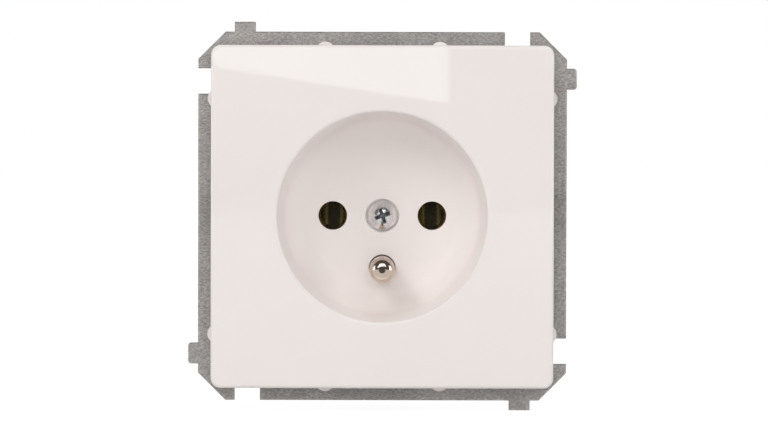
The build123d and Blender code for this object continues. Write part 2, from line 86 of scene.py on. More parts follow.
def cad_copy(node, name):
    """A copy of a CAD node in millimetres, with its loose triangles joined into whole faces."""
    piece = bpy.data.objects.new(name, frame["nodes"][node].data.copy())
    bpy.context.collection.objects.link(piece)
    piece.data.materials.clear()
    piece.scale = (1000, 1000, 1000)
    alone(piece)
    bpy.ops.object.transform_apply(location=True, rotation=True, scale=True)
    bpy.ops.mesh.customdata_custom_splitnormals_clear()
    bpy.ops.object.mode_set(mode="EDIT")
    bpy.ops.mesh.select_all(action="SELECT")
    bpy.ops.mesh.remove_doubles(threshold=0.002)
    bpy.ops.mesh.dissolve_limited(angle_limit=math.radians(0.4))
    bpy.ops.object.mode_set(mode="OBJECT")
    return piece


def round_edges(piece, width, segments=2, angle=32):
    """Rounds every edge that is sharper than an angle, as a tool or a mould leaves it."""
    alone(piece)
    rounding = piece.modifiers.new("rounding", "BEVEL")
    rounding.width = width
    rounding.segments = segments
    rounding.limit_method = "ANGLE"
    rounding.angle_limit = math.radians(angle)
    rounding.use_clamp_overlap = True
    bpy.ops.object.modifier_apply(modifier=rounding.name)


def finish_shape(piece, smooth_angle=40):
    """Shades a piece, lets its large faces lead the normals, and takes it to metres."""
    alone(piece)
    bpy.ops.object.transform_apply(location=True, rotation=True, scale=True)
    piece.scale = (0.001, 0.001, 0.001)
    bpy.ops.object.transform_apply(location=True, rotation=True, scale=True)
    bpy.ops.object.shade_smooth_by_angle(angle=math.radians(smooth_angle))
    leading = piece.modifiers.new("leading faces", "WEIGHTED_NORMAL")
    leading.keep_sharp = True
    bpy.ops.object.modifier_apply(modifier=leading.name)


def paint(red, green, blue):
    """A colour as a screen shows it, 0 to 255, in the linear values that a shader takes."""
    linear = [(v / 255 + 0.055) / 1.055 for v in (red, green, blue)]
    return (*[v**2.4 for v in linear], 1.0)


def start_material(name, colour, roughness, metallic=0.0):
    """A material whose shader holds the plain values, and that shader."""
    material = bpy.data.materials.new(name)
    material.use_nodes = True
    shader = material.node_tree.nodes["Principled BSDF"]
    shader.inputs["Base Color"].default_value = colour
    shader.inputs["Roughness"].default_value = roughness
    shader.inputs["Metallic"].default_value = metallic
    return material, shader


def add_node(tree, kind, values=(), **settings):
    """A node with its settings, and plain values on its named sockets."""
    node = tree.nodes.new(kind)
    for key, value in settings.items():
        setattr(node, key, value)
    for socket, value in dict(values).items():
        node.inputs[socket].default_value = value
    return node


def feed(tree, socket, value):
    """Links an output to a socket, or sets a plain value on it."""
    if isinstance(value, bpy.types.NodeSocket):
        tree.links.new(value, socket)
    else:
        socket.default_value = value


def object_place(tree):
    """Where a point lies in the object's own coordinates, in metres."""
    return tree.nodes.new("ShaderNodeTexCoord").outputs["Object"]


def object_axes(tree):
    """The X, Y and Z outputs of a point's place in the object's own coordinates."""
    axes = tree.nodes.new("ShaderNodeSeparateXYZ")
    tree.links.new(object_place(tree), axes.inputs["Vector"])
    return axes.outputs


def reach_from_axis(tree, across, up):
    """The distance from an axis along Y, from the offsets across and up."""
    offset = tree.nodes.new("ShaderNodeCombineXYZ")
    reach = add_node(tree, "ShaderNodeVectorMath", operation="LENGTH")
    tree.links.new(across, offset.inputs["X"])
    tree.links.new(up, offset.inputs["Z"])
    tree.links.new(offset.outputs["Vector"], reach.inputs[0])
    return reach.outputs["Value"]


def calculate(tree, operation, *values):
    """The result of a math node, whose values are outputs or plain numbers."""
    node = add_node(tree, "ShaderNodeMath", operation=operation)
    for index, value in enumerate(values):
        feed(tree, node.inputs[index], value)
    return node.outputs["Value"]


def mix(tree, factor, first, second, data_type="RGBA", **settings):
    """A mix of two colours or two numbers, given as outputs or plain values."""
    node = add_node(tree, "ShaderNodeMix", data_type=data_type, **settings)
    for name, value in (("Factor", factor), ("A", first), ("B", second)):
        feed(tree, node.inputs[name], value)
    return node.outputs["Result"]


def ramp(tree, source, stops):
    """The colour of a ramp fed by an output, with stops given as (position, colour)."""
    node = tree.nodes.new("ShaderNodeValToRGB")
    elements = node.color_ramp.elements
    for index, (position, colour) in enumerate(stops):
        stop = elements[index] if index < 2 else elements.new(position)
        stop.position = position
        stop.color = colour
    tree.links.new(source, node.inputs["Fac"])
    return node.outputs["Color"]


def map_range(tree, source, low, high, to_low, to_high):
    """A value carried from one range to another."""
    node = add_node(
        tree,
        "ShaderNodeMapRange",
        {"From Min": low, "From Max": high, "To Min": to_low, "To Max": to_high},
    )
    tree.links.new(source, node.inputs["Value"])
    return node.outputs["Result"]


def noise_range(tree, noise, to_low, to_high):
    """The middle part of a noise, where nearly all of it lies, carried to a range."""
    return map_range(tree, noise, 0.3, 0.7, to_low, to_high)


def bump(tree, shader, height, distance, strength=1.0):
    """Feeds a height into the shader's normal, with the depth of the relief in metres."""
    node = add_node(tree, "ShaderNodeBump", {"Strength": strength, "Distance": distance})
    tree.links.new(height, node.inputs["Height"])
    tree.links.new(node.outputs["Normal"], shader.inputs["Normal"])


def make_group(name, inputs, outputs):
    """An empty node group with its sockets: its tree, its input node and its output node."""
    tree = bpy.data.node_groups.new(name, "ShaderNodeTree")
    for socket, value in inputs.items():
        made = tree.interface.new_socket(socket, in_out="INPUT", socket_type="NodeSocketFloat")
        made.default_value = value
    for socket in outputs:
        tree.interface.new_socket(socket, in_out="OUTPUT", socket_type="NodeSocketFloat")
    return tree, tree.nodes.new("NodeGroupInput"), tree.nodes.new("NodeGroupOutput")


def place_group(tree, group, values=()):
    """The group as a node in a material's tree, with its own values."""
    node = tree.nodes.new("ShaderNodeGroup")
    node.node_tree = group
    for socket, value in dict(values).items():
        node.inputs[socket].default_value = value
    return node


# Grain of a surface: fine relief, and a slow change of tone over the piece
grain, grain_in, grain_out = make_group(
    "surface grain", {"Fine Scale": 2500.0, "Slow Scale": 60.0}, ("Fine", "Slow")
)
grain_place = object_place(grain)
for kind, detail, roughness in (("Fine", 3.0, 0.55), ("Slow", 2.0, 0.5)):
    noise = add_node(grain, "ShaderNodeTexNoise", {"Detail": detail, "Roughness": roughness})
    grain.links.new(grain_place, noise.inputs["Vector"])
    grain.links.new(grain_in.outputs[f"{kind} Scale"], noise.inputs["Scale"])
    grain.links.new(noise.outputs["Fac"], grain_out.inputs[kind])

# Edge wear: how far the rounded normal turns from the face's own, broken up by noise
wear, wear_in, wear_out = make_group("edge wear", {"Width": 0.0003, "Breakup": 900.0}, ("Mask",))
rounded = add_node(wear, "ShaderNodeBevel", samples=4)
facing_way = wear.nodes.new("ShaderNodeNewGeometry")
agreement = add_node(wear, "ShaderNodeVectorMath", operation="DOT_PRODUCT")
breakup = add_node(wear, "ShaderNodeTexNoise", {"Detail": 2.0})
wear.links.new(wear_in.outputs["Width"], rounded.inputs["Radius"])
wear.links.new(rounded.outputs["Normal"], agreement.inputs[0])
wear.links.new(facing_way.outputs["Normal"], agreement.inputs[1])
wear.links.new(object_place(wear), breakup.inputs["Vector"])
wear.links.new(wear_in.outputs["Breakup"], breakup.inputs["Scale"])
edge_mask = map_range(wear, agreement.outputs["Value"], 0.995, 0.86, 0.0, 1.0)
patches = map_range(wear, breakup.outputs["Fac"], 0.35, 0.65, 0.35, 1.0)
wear.links.new(calculate(wear, "MULTIPLY", edge_mask, patches), wear_out.inputs["Mask"])


def worn(tree, tone, width, breakup_scale, edge_colour):
    """A tone whose edges are brighter, over a width in metres."""
    edges = place_group(tree, wear, {"Width": width, "Breakup": breakup_scale})
    return mix(tree, edges.outputs["Mask"], tone, edge_colour)


# Galvanised finish: a grey zinc coat with fine speckles, a faint spangle and brighter edges
galvanised, shader = start_material("galvanised sheet", paint(143, 139, 135), 0.5, 0.5)
tree = galvanised.node_tree
rolling = add_node(tree, "ShaderNodeMapping", {"Scale": (0.55, 1.0, 1.0)})
speckles = add_node(
    tree, "ShaderNodeTexNoise", {"Scale": 3000.0, "Detail": 3.0, "Roughness": 0.7}
)
spangle = add_node(tree, "ShaderNodeTexVoronoi", {"Scale": 900.0, "Randomness": 1.0})
blotches = add_node(tree, "ShaderNodeTexNoise", {"Scale": 160.0, "Detail": 2.0})
tree.links.new(object_place(tree), rolling.inputs["Vector"])
for pattern in (speckles, spangle, blotches):
    tree.links.new(rolling.outputs["Vector"], pattern.inputs["Vector"])
coat = ramp(
    tree,
    speckles.outputs["Fac"],
    [(0.32, paint(128, 125, 122)), (0.5, paint(160, 156, 153)), (0.68, paint(188, 184, 181))],
)
crystal = tree.nodes.new("ShaderNodeSeparateColor")
tree.links.new(spangle.outputs["Color"], crystal.inputs["Color"])
tinted = mix(tree, 0.08, coat, crystal.outputs["Red"], blend_type="OVERLAY")
sheet_tone = worn(tree, tinted, 0.00025, 1600.0, paint(205, 202, 198))
sheet_roughness = noise_range(tree, blotches.outputs["Fac"], 0.42, 0.6)
tree.links.new(sheet_tone, shader.inputs["Base Color"])
tree.links.new(sheet_roughness, shader.inputs["Roughness"])
bump(tree, shader, speckles.outputs["Fac"], 0.00004, 0.6)

support = cad_copy("support_frame", "steel_support")
round_edges(support, support_edge_rounding)
finish_shape(support)
support.data.materials.append(galvanised)
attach(support, "root")
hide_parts("support_frame")

# Insert base: a deep body moulded in light grey plastic, with a chamber for each contact, wire
# entries behind, screwdriver holes above and below, and cored cells. It hangs on the back of the
# support.
base_plastic, shader = start_material("moulded base", paint(196, 195, 190), 0.5)
tree = base_plastic.node_tree
base_grain = place_group(tree, grain, {"Fine Scale": 2600.0, "Slow Scale": 70.0})
base_tone = ramp(
    tree, base_grain.outputs["Slow"], [(0.3, paint(188, 187, 182)), (0.7, paint(203, 202, 197))]
)
base_worn = worn(tree, base_tone, 0.0004, 500.0, paint(222, 221, 217))
base_roughness = noise_range(tree, base_grain.outputs["Fine"], 0.42, 0.6)
tree.links.new(base_worn, shader.inputs["Base Color"])
tree.links.new(base_roughness, shader.inputs["Roughness"])
bump(tree, shader, base_grain.outputs["Fine"], 0.00003, 0.5)

base_edge_rounding = 0.22
base = cad_copy("insert_base", "moulded_base")
round_edges(base, base_edge_rounding)
finish_shape(base)
base.data.materials.append(base_plastic)
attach(base, "root")
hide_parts("insert_base")

# Line contacts and their springs: split sleeves of stamped brass with curved leaves, each on a
# strip that rises to its terminal, and a C-shaped spring clip that holds the leaves together.
brass, shader = start_material("stamped brass", paint(196, 164, 92), 0.3, 0.85)
tree = brass.node_tree
brass_grain = place_group(tree, grain, {"Fine Scale": 1800.0, "Slow Scale": 220.0})
brass_tone = ramp(
    tree,
    brass_grain.outputs["Slow"],
    [(0.3, paint(182, 150, 84)), (0.55, paint(194, 163, 94)), (0.75, paint(203, 173, 104))],
)
brass_worn = worn(tree, brass_tone, 0.00015, 1500.0, paint(236, 214, 158))
# Inside the sleeves, behind their flared mouths, shade is painted in as dull dark brass, and a
# painted sheen lies as a paler band along each leaf
contact_across = 9.5
sleeve_axes = object_axes(tree)
either_side = calculate(tree, "ABSOLUTE", sleeve_axes["X"])
off_axis = calculate(tree, "SUBTRACT", either_side, contact_across / 1000)
sleeve_reach = reach_from_axis(tree, off_axis, sleeve_axes["Z"])
in_sleeve = map_range(tree, sleeve_reach, 0.0034, 0.0030, 0.0, 1.0)
deep = map_range(tree, sleeve_axes["Y"], 0.0150, 0.0195, 0.0, 1.0)
beside_axis = calculate(tree, "ABSOLUTE", off_axis)
leaf_painted_shade_and_sheen = ramp(
    tree,
    map_range(tree, beside_axis, 0.0, 0.0027, 0.0, 1.0),
    [
        (0.0, paint(62, 55, 34)),
        (0.4, paint(66, 58, 36)),
        (0.53, paint(156, 146, 84)),
        (0.64, paint(120, 110, 62)),
        (0.8, paint(60, 52, 30)),
    ],
)
# Painted shade deep in the sleeves, with the painted sheen of the leaves
painted_sleeve_shade = calculate(tree, "MULTIPLY", in_sleeve, deep)
brass_roughness = noise_range(tree, brass_grain.outputs["Fine"], 0.22, 0.42)
brass_metal = map_range(tree, in_sleeve, 0.0, 1.0, 0.9, 0.6)
tree.links.new(mix(tree, painted_sleeve_shade, brass_worn, leaf_painted_shade_and_sheen), shader.inputs["Base Color"])
tree.links.new(brass_metal, shader.inputs["Metallic"])
tree.links.new(brass_roughness, shader.inputs["Roughness"])
bump(tree, shader, brass_grain.outputs["Fine"], 0.00001, 0.4)

spring_steel, shader = start_material("spring steel", paint(150, 150, 152), 0.3, 1.0)
tree = spring_steel.node_tree
spring_grain = place_group(tree, grain, {"Fine Scale": 2400.0, "Slow Scale": 300.0})
spring_tone = ramp(
    tree, spring_grain.outputs["Slow"], [(0.3, paint(128, 126, 124)), (0.7, paint(166, 167, 170))]
)
spring_roughness = noise_range(tree, spring_grain.outputs["Fine"], 0.24, 0.44)
tree.links.new(spring_tone, shader.inputs["Base Color"])
tree.links.new(spring_roughness, shader.inputs["Roughness"])
bump(tree, shader, spring_grain.outputs["Fine"], 0.000008, 0.4)

leaf_edge_rounding = 0.07
clip_edge_rounding = 0.08
for side in ("left", "right"):
    contact = cad_copy(f"contact_{side}", f"brass_contact_{side}")
    round_edges(contact, leaf_edge_rounding)
    finish_shape(contact)
    contact.data.materials.append(brass)
    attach(contact, "root")
    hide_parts(f"contact_{side}")

    clip = cad_copy(f"contact_spring_{side}", f"spring_clip_{side}")
    round_edges(clip, clip_edge_rounding)
    finish_shape(clip)
    clip.data.materials.append(spring_steel)
    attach(clip, "root")
    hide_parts(f"contact_spring_{side}")

# Earth strap and earth terminal: two brass stampings under the riveted tail of the pin. The strap's
# tongue bears on the steel support, and the bracket carries the earth wire's clamp.
stamping_edge_rounding = 0.1
for node, name in (
    ("earth_strap", "brass_earth_strap"),
    ("earth_terminal", "brass_earth_bracket"),
):
    stamping = cad_copy(node, name)
    round_edges(stamping, stamping_edge_rounding)
    finish_shape(stamping)
    stamping.data.materials.append(brass)
    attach(stamping, "root")
    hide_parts(node)

# Lid: a round plate of the same moulded plastic that closes the contact chambers, under the cover's
# cup. Three screws hold it, with their heads sunk into it.
lid_edge_rounding = 0.15
lid = cad_copy("contact_lid", "chamber_lid")
round_edges(lid, lid_edge_rounding)
finish_shape(lid)
lid.data.materials.append(base_plastic)
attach(lid, "root")
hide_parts("contact_lid")

# Screws, nut and clamp saddles: steel with bright zinc plating. The screws are cold headed, with a
# raised, domed head and a cross recess that has fine ticks between its wings.
zinc, shader = start_material("bright zinc plating", paint(196, 197, 198), 0.24, 1.0)
tree = zinc.node_tree
zinc_grain = place_group(tree, grain, {"Fine Scale": 2600.0, "Slow Scale": 500.0})
zinc_tone = ramp(
    tree, zinc_grain.outputs["Slow"], [(0.3, paint(204, 205, 206)), (0.7, paint(236, 236, 236))]
)
zinc_worn = worn(tree, zinc_tone, 0.00012, 2200.0, paint(238, 238, 238))
# The heads' own "hollow" attribute marks the cross recess and the rim, where shade is painted
painted_shade_mark = add_node(tree, "ShaderNodeAttribute", attribute_name="hollow").outputs["Fac"]
zinc_fine = noise_range(tree, zinc_grain.outputs["Fine"], 0.16, 0.26)
zinc_with_painted_shade = mix(tree, painted_shade_mark, zinc_worn, paint(104, 104, 107))
zinc_roughness = mix(tree, painted_shade_mark, zinc_fine, 0.6, "FLOAT")
tree.links.new(zinc_with_painted_shade, shader.inputs["Base Color"])
tree.links.new(zinc_roughness, shader.inputs["Roughness"])
bump(tree, shader, zinc_grain.outputs["Fine"], 0.000006, 0.5)


def start_shaping(piece):
    """Puts one piece into edit mode with nothing selected."""
    alone(piece)
    bpy.ops.object.mode_set(mode="EDIT")
    bpy.ops.mesh.select_all(action="DESELECT")


def pick(piece, kind, test):
    """Selects the vertices or the edges whose middle passes a test."""
    bpy.ops.mesh.select_mode(type=kind)
    bpy.ops.mesh.select_all(action="DESELECT")
    mesh = bmesh.from_edit_mesh(piece.data)
    for part in mesh.verts if kind == "VERT" else mesh.edges:
        if kind == "VERT":
            middle = part.co
        else:
            middle = (part.verts[0].co + part.verts[1].co) / 2
        if test(middle):
            part.select_set(True)
    mesh.select_flush_mode()
    bmesh.update_edit_mesh(piece.data)


def turned(name, points, steps=96):
    """A solid turned round the Y axis from a profile of (radius, level) points, in millimetres."""
    bpy.ops.object.select_all(action="DESELECT")
    bpy.ops.mesh.primitive_plane_add(size=1, location=(0, 0, 0))
    piece = bpy.context.object
    piece.name = name
    bpy.ops.object.mode_set(mode="EDIT")
    bpy.ops.mesh.merge(type="CENTER")
    bpy.ops.transform.translate(value=(points[0][0], points[0][1], 0))
    for (radius, level), (next_radius, next_level) in zip(points, points[1:]):
        bpy.ops.mesh.extrude_vertices_move(
            TRANSFORM_OT_translate={"value": (next_radius - radius, next_level - level, 0)}
        )
    bpy.ops.mesh.select_all(action="SELECT")
    bpy.ops.mesh.spin(steps=steps, angle=math.tau, center=(0, 0, 0), axis=(0, 1, 0))
    bpy.ops.mesh.select_all(action="SELECT")
    bpy.ops.mesh.remove_doubles(threshold=0.0005)
    bpy.ops.mesh.normals_make_consistent(inside=False)
    bpy.ops.object.mode_set(mode="OBJECT")
    return piece


def combine(piece, other, operation):
    """Cuts another solid out of a piece, or joins it on, and removes the other."""
    alone(piece)
    boolean = piece.modifiers.new("boolean", "BOOLEAN")
    boolean.object = other
    boolean.operation = operation
    boolean.solver = "EXACT"
    bpy.ops.object.modifier_apply(modifier=boolean.name)
    bpy.data.objects.remove(other)


def block(size, centre, turn=0.0):
    """A block in millimetres, turned about the Y axis, to cut with or to join on."""
    bpy.ops.object.select_all(action="DESELECT")
    bpy.ops.mesh.primitive_cube_add(size=1)
    piece = bpy.context.object
    turned_size = Matrix.Rotation(turn, 4, "Y") @ Matrix.Diagonal((*size, 1))
    piece.data.transform(Matrix.Translation(centre) @ turned_size)
    return piece


def cross_screw(name, diameter, length, head_diameter, head_height, rim):
    """A zinc plated screw at the origin, with its head towards -Y and its seat at Y = 0."""
    head = head_diameter / 2
    shank = diameter / 2
    point = 0.35
    under_head = 0.12
    dome_rise = head_height - rim
    sphere = (head**2 + dome_rise**2) / (2 * dome_rise)
    dome_reach = math.asin(head / sphere)
    dome_steps = 10
    dome = []
    for step in range(dome_steps + 1):
        angle = dome_reach * step / dome_steps
        rise = sphere * math.cos(angle) - (sphere - dome_rise)
        dome.append((sphere * math.sin(angle), -(rim + rise)))
    shaft = [
        (head, -under_head),
        (head - under_head, 0),
        (shank, 0),
        (shank, length - point),
        (shank - point, length),
        (0, length),
    ]
    screw = turned(name, dome + shaft)

    # The cross: two tapered grooves, and a fine tick between their wings
    wing = head_diameter * 0.76
    thick = head_diameter * 0.175
    depth = head_height * 0.6
    taper = 0.5
    tick_length = head_diameter * 0.6
    tick_width = 0.16
    tick_level = -head_height - 0.08
    for turn in (0, math.pi / 2):
        recess = block((wing, depth + 1, thick), (0, -head_height + (depth - 1) / 2, 0), turn)
        start_shaping(recess)
        pick(recess, "VERT", lambda place: place.y > -head_height + depth * 0.5)
        bpy.ops.transform.resize(value=(taper, 1, taper), center_override=(0, 0, 0))
        bpy.ops.object.mode_set(mode="OBJECT")
        combine(screw, recess, "DIFFERENCE")
        tick = block((tick_length, 0.5, tick_width), (0, tick_level, 0), turn + math.pi / 4)
        combine(screw, tick, "DIFFERENCE")
    round_edges(screw, 0.045, 2, 38)

    # The mark for painted shade: full in the depth of the wings, and faint round the rim of the
    # head
    unshaded_skin, full_depth = 0.06, 0.25
    middle_shade, middle_reach = 0.35, 0.6
    rim_shade, rim_width = 0.4, 0.07
    hollow = screw.data.attributes.new("hollow", "FLOAT", "POINT")
    for vertex, mark in zip(screw.data.vertices, hollow.data):
        reach = math.hypot(vertex.co.x, vertex.co.z)
        if reach < wing / 2 and vertex.co.y < -0.2:
            surface = -(rim + math.sqrt(sphere**2 - reach**2) - (sphere - dome_rise))
            below = min(1.0, max(0.0, (vertex.co.y - surface - unshaded_skin) / full_depth))
            mark.value = below * min(1.0, middle_shade + reach / middle_reach)
        elif reach > head - rim_width:
            mark.value = rim_shade
    return screw


def place_screw(screw, node, name, place, turn):
    """A copy of a screw with its own mesh, turned and set in its place."""
    copy = bpy.data.objects.new(name, screw.data.copy())
    bpy.context.collection.objects.link(copy)
    copy.data.transform(Matrix.Translation(place) @ turn)
    finish_shape(copy)
    copy.data.materials.append(zinc)
    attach(copy, "root")
    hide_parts(node)


cover_head_level = 5.9
cover_screw_turn = math.radians(-20)
cover_screw = cross_screw(
    "screw_pattern_cover", diameter=3.0, length=10.0, head_diameter=5.7, head_height=2.0, rim=0.6
)
place_screw(
    cover_screw,
    "cover_screw",
    "screw_cover",
    Vector((0, cover_head_level, 0)),
    Matrix.Rotation(cover_screw_turn, 4, "Y"),
)
bpy.data.objects.remove(cover_screw)

support_front = -1.0
support_screw = cross_screw(
    "screw_pattern_support", diameter=2.8, length=9.0, head_diameter=5.2, head_height=1.8, rim=0.6
)
corner_place = 17.8
for number, (x, z) in enumerate(((-1, 1), (1, 1), (1, -1), (-1, -1)), start=1):
    place_screw(
        support_screw,
        f"support_screw_{number}",
        f"screw_support_{number}",
        Vector((x * corner_place, support_front, z * corner_place)),
        Matrix.Rotation(math.radians(31 * number), 4, "Y"),
    )
bpy.data.objects.remove(support_screw)

lid_seat = 8.6
lid_screw = cross_screw(
    "screw_pattern_lid", diameter=2.2, length=9.0, head_diameter=3.8, head_height=1.1, rim=0.4
)
for number in (1, 2, 3):
    low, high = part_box(f"lid_screw_{number}")
    place_screw(
        lid_screw,
        f"lid_screw_{number}",
        f"screw_lid_{number}",
        Vector(((low.x + high.x) * 500, lid_seat, (low.z + high.z) * 500)),
        Matrix.Rotation(math.radians(47 * number), 4, "Y"),
    )
bpy.data.objects.remove(lid_screw)

clamp_level = 18.5
clamp_face = 17.0
saddle_edge_rounding = 0.12
terminal_screw = cross_screw(
    "screw_pattern_terminal", diameter=3.5, length=4.6, head_diameter=6.0, head_height=2.2, rim=1.1
)
for side, x, way in (("left", -contact_across, 1), ("right", contact_across, 1), ("earth", 0, -1)):
    upright = Matrix.Rotation(math.radians(-90 * way), 4, "X")
    place_screw(
        terminal_screw,
        f"terminal_screw_{side}",
        f"screw_terminal_{side}",
        Vector((x, clamp_level, way * clamp_face)),
        upright @ Matrix.Rotation(0.4 + x, 4, "Y"),
    )
    saddle = cad_copy(f"clamp_saddle_{side}", f"saddle_{side}")
    round_edges(saddle, saddle_edge_rounding)
    finish_shape(saddle)
    saddle.data.materials.append(zinc)
    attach(saddle, "root")
    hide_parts(f"clamp_saddle_{side}")
bpy.data.objects.remove(terminal_screw)

nut_edge_rounding = 0.18
nut = cad_copy("cover_nut", "square_nut")
round_edges(nut, nut_edge_rounding)
finish_shape(nut)
nut.data.materials.append(zinc)
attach(nut, "root")
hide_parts("cover_nut")

# Earth pin: turned from brass bar and nickel plated, with a rounded tip and fine turning marks. Its
# thinner root goes through the cover's floor and the lid, and its tail is riveted behind the strap.
pin_radius = 2.4
pin_below_middle = 10
pin_tip_level = -8.6
pin_tip_rounding = 1.75
pin_tip_flat = pin_radius - pin_tip_rounding
pin_shoulder = 5.4
root_radius = 2.2
lid_rear = 9.6
flange_radius = 3.5
strap_front = 11.0
tail_radius = 2.0
bracket_rear = 12.6
rivet_radius = 2.8
rivet_end = 13.4
tip_steps = 12
tip = []
for step in range(tip_steps + 1):
    angle = math.radians(90 * step / tip_steps)
    tip.append(
        (
            pin_tip_flat + pin_tip_rounding * math.sin(angle),
            pin_tip_level + pin_tip_rounding * (1 - math.cos(angle)),
        )
    )
pin = turned(
    "nickel_earth_pin",
    [(0, pin_tip_level), (pin_tip_flat - 0.03, pin_tip_level)]
    + tip
    + [
        (pin_radius, pin_shoulder - 0.1),
        (root_radius, pin_shoulder),
        (root_radius, lid_rear),
        (flange_radius, lid_rear),
        (flange_radius, strap_front),
        (tail_radius, strap_front),
        (tail_radius, bracket_rear),
        (rivet_radius, bracket_rear),
        (rivet_radius - 0.1, rivet_end - 0.2),
        (rivet_radius - 0.5, rivet_end),
        (0, rivet_end),
    ],
    128,
)
pin.data.transform(Matrix.Translation((0, 0, -pin_below_middle)))
round_edges(pin, 0.06, 2, 40)
finish_shape(pin)

nickel, shader = start_material("nickel plating", paint(212, 202, 192), 0.1, 1.0)
tree = nickel.node_tree
pin_stretch = add_node(tree, "ShaderNodeMapping", {"Scale": (300.0, 9000.0, 300.0)})
turning = add_node(tree, "ShaderNodeTexNoise", {"Scale": 1.0, "Detail": 2.0})
tree.links.new(object_place(tree), pin_stretch.inputs["Vector"])
tree.links.new(pin_stretch.outputs["Vector"], turning.inputs["Vector"])
pin_grain = place_group(tree, grain, {"Fine Scale": 2200.0, "Slow Scale": 400.0})
pin_tone = ramp(
    tree, pin_grain.outputs["Slow"], [(0.3, paint(208, 191, 176)), (0.7, paint(219, 204, 191))]
)
pin_roughness = noise_range(tree, turning.outputs["Fac"], 0.04, 0.09)
tree.links.new(pin_tone, shader.inputs["Base Color"])
tree.links.new(pin_roughness, shader.inputs["Roughness"])
bump(tree, shader, turning.outputs["Fac"], 0.000006, 0.5)
pin.data.materials.append(nickel)
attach(pin, "root")
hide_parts("earth_pin")

# Cover plate: one thin-walled moulding in glossy warm white plastic, with a slightly crowned square
# front, rounded edges, side walls with eight snap nubs, ribs behind, and the deep plug recess.
cover_front = -9.6
cover_rear = -1.2
cover_half = 32.2
cover_corner = 1.9
cover_flare = 1.0124
cover_crown = 0.2
front_edge_rounding = 0.55
rear_edge_rounding = 0.2
plate_rear = -7.7
skirt_thickness = 1.7
rim_radius = 19.75
rim_rounding = 0.6
floor_level = 5.4
floor_radius = 18.305
floor_rounding = 4.54
cup_wall = 1.8
cup_rear = 7.4
cup_rounding = 5.6
ring_points = 192
corner_points = 8


def on_outline(half, corner, level):
    """A test for the edges on a square outline with rounded corners, at a level."""

    def test(middle):
        across, up = abs(middle.x), abs(middle.z)
        in_corner = min(across, up) > half - corner and (
            math.hypot(across - half + corner, up - half + corner) > 0.96 * corner
        )
        return abs(middle.y - level) < 0.01 and (max(across, up) > half - 0.02 or in_corner)

    return test


def on_ring(radius, level, slack=0.1):
    """A test for the edges on a ring round the Y axis, at a level."""
    return lambda middle: (
        abs(math.hypot(middle.x, middle.z) - radius) < slack and abs(middle.y - level) < 0.03
    )


def cover_skin(level, half, corner, ring, bottom_level, bottom_ring, cuts):
    """One skin of the moulding: the square plate, its side walls, and the cup down to its floor."""
    bpy.ops.mesh.select_mode(type="VERT")
    bpy.ops.mesh.primitive_plane_add(
        size=2 * half, location=(0, level, 0), rotation=(math.pi / 2, 0, 0)
    )
    bpy.ops.mesh.bevel(offset=corner, segments=corner_points, affect="VERTICES")
    bpy.ops.mesh.delete(type="ONLY_FACE")
    outline = on_outline(half, corner, level)
    pick(cover, "EDGE", lambda middle: outline(middle) and min(abs(middle.x), abs(middle.z)) < 1)
    bpy.ops.mesh.subdivide(number_cuts=ring_points // 4 - corner_points - 1)
    bpy.ops.mesh.primitive_circle_add(
        vertices=ring_points, radius=ring, location=(0, level, 0), rotation=(math.pi / 2, 0, 0)
    )
    around = on_ring(ring, level)
    pick(cover, "EDGE", lambda middle: outline(middle) or around(middle))
    bpy.ops.mesh.bridge_edge_loops(number_cuts=cuts, interpolation="LINEAR")

    pick(cover, "EDGE", outline)
    bpy.ops.mesh.extrude_edges_move(TRANSFORM_OT_translate={"value": (0, cover_rear - level, 0)})
    bpy.ops.transform.resize(
        value=(cover_flare, 1, cover_flare), center_override=(0, cover_rear, 0)
    )
    pick(cover, "EDGE", around)
    bpy.ops.mesh.extrude_edges_move(
        TRANSFORM_OT_translate={"value": (0, bottom_level - level, 0)}
    )
    narrowing = bottom_ring / ring
    bpy.ops.transform.resize(value=(narrowing, 1, narrowing), center_override=(0, bottom_level, 0))
    bpy.ops.mesh.extrude_edges_move(TRANSFORM_OT_translate={"value": (0, 0, 0)})
    bpy.ops.transform.resize(value=(0.6, 1, 0.6), center_override=(0, bottom_level, 0))
    bpy.ops.mesh.edge_face_add()


bpy.ops.object.select_all(action="DESELECT")
bpy.ops.mesh.primitive_plane_add(size=1)
cover = bpy.context.object
cover.name = "cover_moulding"
bpy.ops.object.mode_set(mode="EDIT")
bpy.ops.mesh.delete(type="VERT")
cover_skin(
    level=cover_front,
    half=cover_half,
    corner=cover_corner,
    ring=rim_radius,
    bottom_level=floor_level,
    bottom_ring=floor_radius,
    cuts=15,
)
cover_skin(
    level=plate_rear,
    half=cover_half - skirt_thickness,
    corner=0.6,
    ring=rim_radius + cup_wall - 0.1,
    bottom_level=cup_rear,
    bottom_ring=floor_radius + cup_wall,
    cuts=3,
)
bpy.ops.mesh.select_linked()
bpy.ops.mesh.flip_normals()
pick(cover, "EDGE", lambda middle: abs(middle.y - cover_rear) < 0.01)
bpy.ops.mesh.bridge_edge_loops()
bpy.ops.mesh.select_all(action="SELECT")
bpy.ops.mesh.remove_doubles(threshold=0.0005)
bpy.ops.mesh.normals_make_consistent(inside=False)

# The rounding of the floor, inside and under it, and then of the rim and of the outer edges
for ring, level, offset, segments in (
    (floor_radius, floor_level, floor_rounding, 14),
    (floor_radius + cup_wall, cup_rear, cup_rounding, 10),
    (rim_radius, cover_front, rim_rounding, 6),
):
    pick(cover, "EDGE", on_ring(ring, level))
    bpy.ops.mesh.bevel(offset=offset, segments=segments, affect="EDGES", clamp_overlap=True)
pick(cover, "EDGE", on_outline(cover_half, cover_corner, cover_front))
bpy.ops.mesh.bevel(offset=front_edge_rounding, segments=6, affect="EDGES", clamp_overlap=True)
rear_outline = on_outline(cover_half * cover_flare, cover_corner * cover_flare, cover_rear)
pick(cover, "EDGE", rear_outline)
bpy.ops.mesh.bevel(offset=rear_edge_rounding, segments=2, affect="EDGES", clamp_overlap=True)

